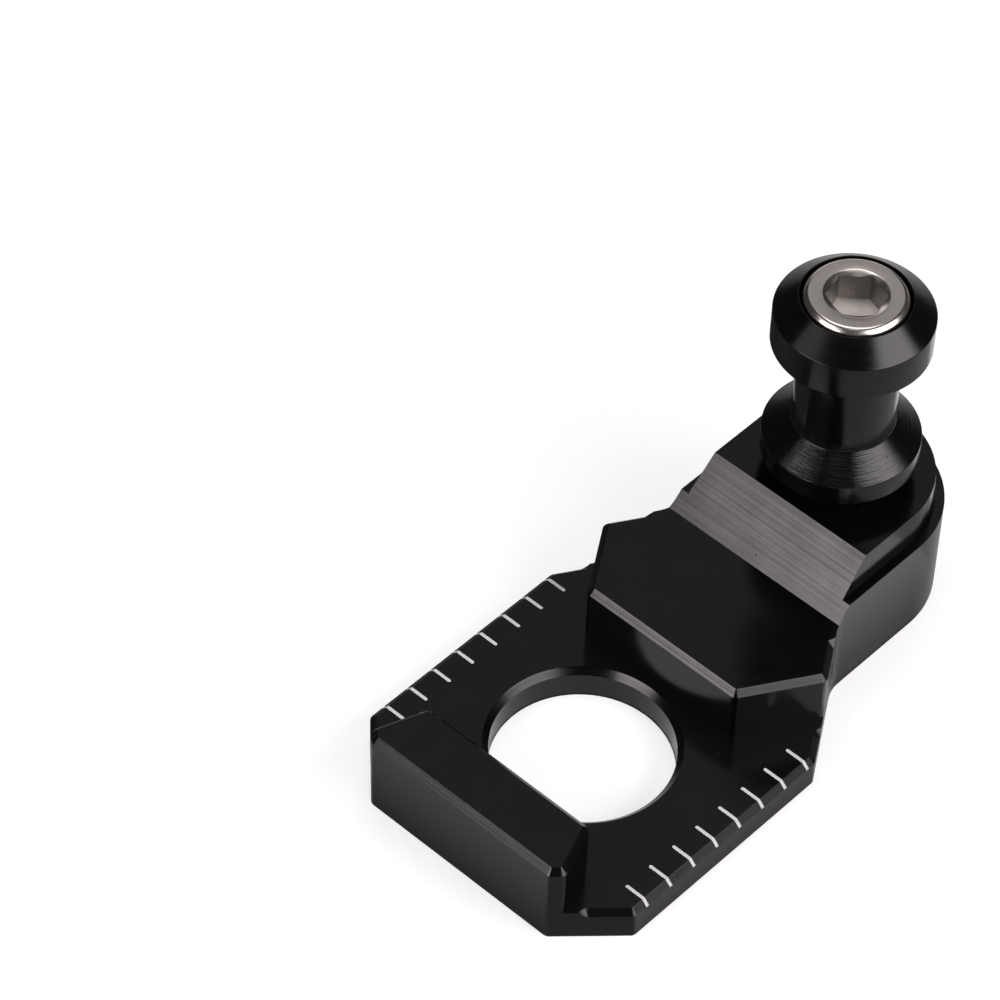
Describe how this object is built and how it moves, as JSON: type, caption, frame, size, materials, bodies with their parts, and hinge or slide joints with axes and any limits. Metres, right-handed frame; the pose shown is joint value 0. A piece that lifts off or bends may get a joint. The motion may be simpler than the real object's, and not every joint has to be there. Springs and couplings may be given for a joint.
{
  "type": "motorcycle chain adjuster",
  "caption": "Milled chain adjuster block with an axle hole in a stepped recess, scale marks along both sides, and a screwed-on spool for a paddock stand.",
  "frame": {"origin": "centre of the axle hole, on the flat face that lies on the swingarm", "axes": "+X from the axle hole towards the spool, +Y across the block, +Z out of the swingarm face along the axle and spool axes"},
  "size_m": [0.0985, 0.0526, 0.0591],
  "materials": {
    "block_anodised": "glossy black anodised, milled",
    "spool_anodised": "glossy black anodised, turned",
    "screw_steel": "bright stainless steel"
  },
  "bodies": {
    "root": {"adjuster_block": "block_anodised", "stand_spool": "spool_anodised", "spool_screw": "screw_steel"}
  },
  "joints": []
}
